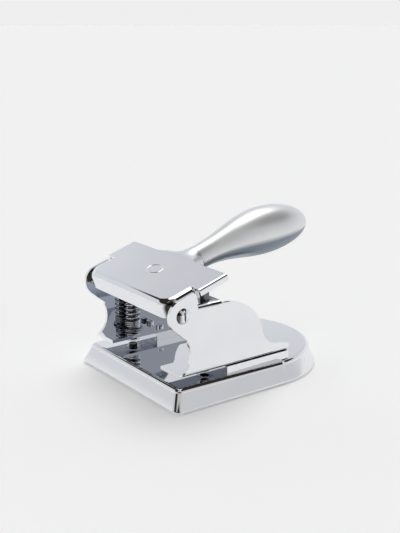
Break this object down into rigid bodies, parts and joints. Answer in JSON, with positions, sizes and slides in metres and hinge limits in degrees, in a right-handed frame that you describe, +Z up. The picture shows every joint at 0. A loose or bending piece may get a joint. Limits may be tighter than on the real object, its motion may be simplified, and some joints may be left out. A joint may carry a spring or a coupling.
{
  "type": "two-hole desk punch",
  "caption": "Chromed desk paper punch: D-shaped base, bent sheet frame, spring-loaded punches and a hinged cover with a bulbous handle.",
  "frame": {"origin": "on the surface it stands on, at mid width, under the line through both punches", "axes": "+Z up, +Y from the paper side towards the handle, +X to the user's right, along the line through both punches"},
  "size_m": [0.11, 0.144, 0.1012],
  "materials": {
    "chromed_sheet": "polished",
    "chromed_screws": "polished",
    "steel_turned": "turned",
    "tool_steel": "ground",
    "spring_steel": "drawn wire",
    "satin_handle": "satin",
    "black_plastic": "fine grain"
  },
  "bodies": {
    "base": {"base_shell": "chromed_sheet", "bottom_tray": "black_plastic", "die_left": "tool_steel", "die_right": "tool_steel", "paper_stop_left": "chromed_sheet", "paper_stop_right": "chromed_sheet", "frame": "chromed_sheet", "foot_screws": "chromed_screws", "lower_guide_left": "steel_turned", "lower_guide_right": "steel_turned", "upper_guide_left": "steel_turned", "upper_guide_right": "steel_turned", "return_spring_left": "spring_steel", "return_spring_right": "spring_steel", "pivot_shaft": "steel_turned", "pivot_screw_left": "chromed_screws", "pivot_screw_right": "chromed_screws"},
    "lever": {"lever_cover": "chromed_sheet", "press_plate": "steel_turned", "neck_block": "steel_turned", "handle_stud": "steel_turned", "handle_grip": "satin_handle"},
    "punch_left": {"punch_left": "tool_steel", "spring_seat_left": "chromed_screws", "retaining_clip_left": "spring_steel"},
    "punch_right": {"punch_right": "tool_steel", "spring_seat_right": "chromed_screws", "retaining_clip_right": "spring_steel"}
  },
  "joints": [
    {"name": "lever_hinge", "type": "hinge", "parent": "base", "child": "lever", "pos_m": [0, -0.0208, 0.0567], "axis": [-1, 0, 0], "range_deg": [0, 17.5], "stiffness_Nm_per_rad": 1.3, "springref_deg": -22.92},
    {"name": "punch_slide_left", "type": "slide", "parent": "base", "child": "punch_left", "axis": [0, 0, -1], "range_m": [0, 0.0065], "deforming": ["return_spring_left"]},
    {"name": "punch_slide_right", "type": "slide", "parent": "base", "child": "punch_right", "axis": [0, 0, -1], "range_m": [0, 0.0065], "deforming": ["return_spring_right"]}
  ],
  "couplings": [
    {"joint": "punch_slide_left", "follows": "lever_hinge", "m_per_rad": 0.02128},
    {"joint": "punch_slide_right", "follows": "lever_hinge", "m_per_rad": 0.02128}
  ]
}
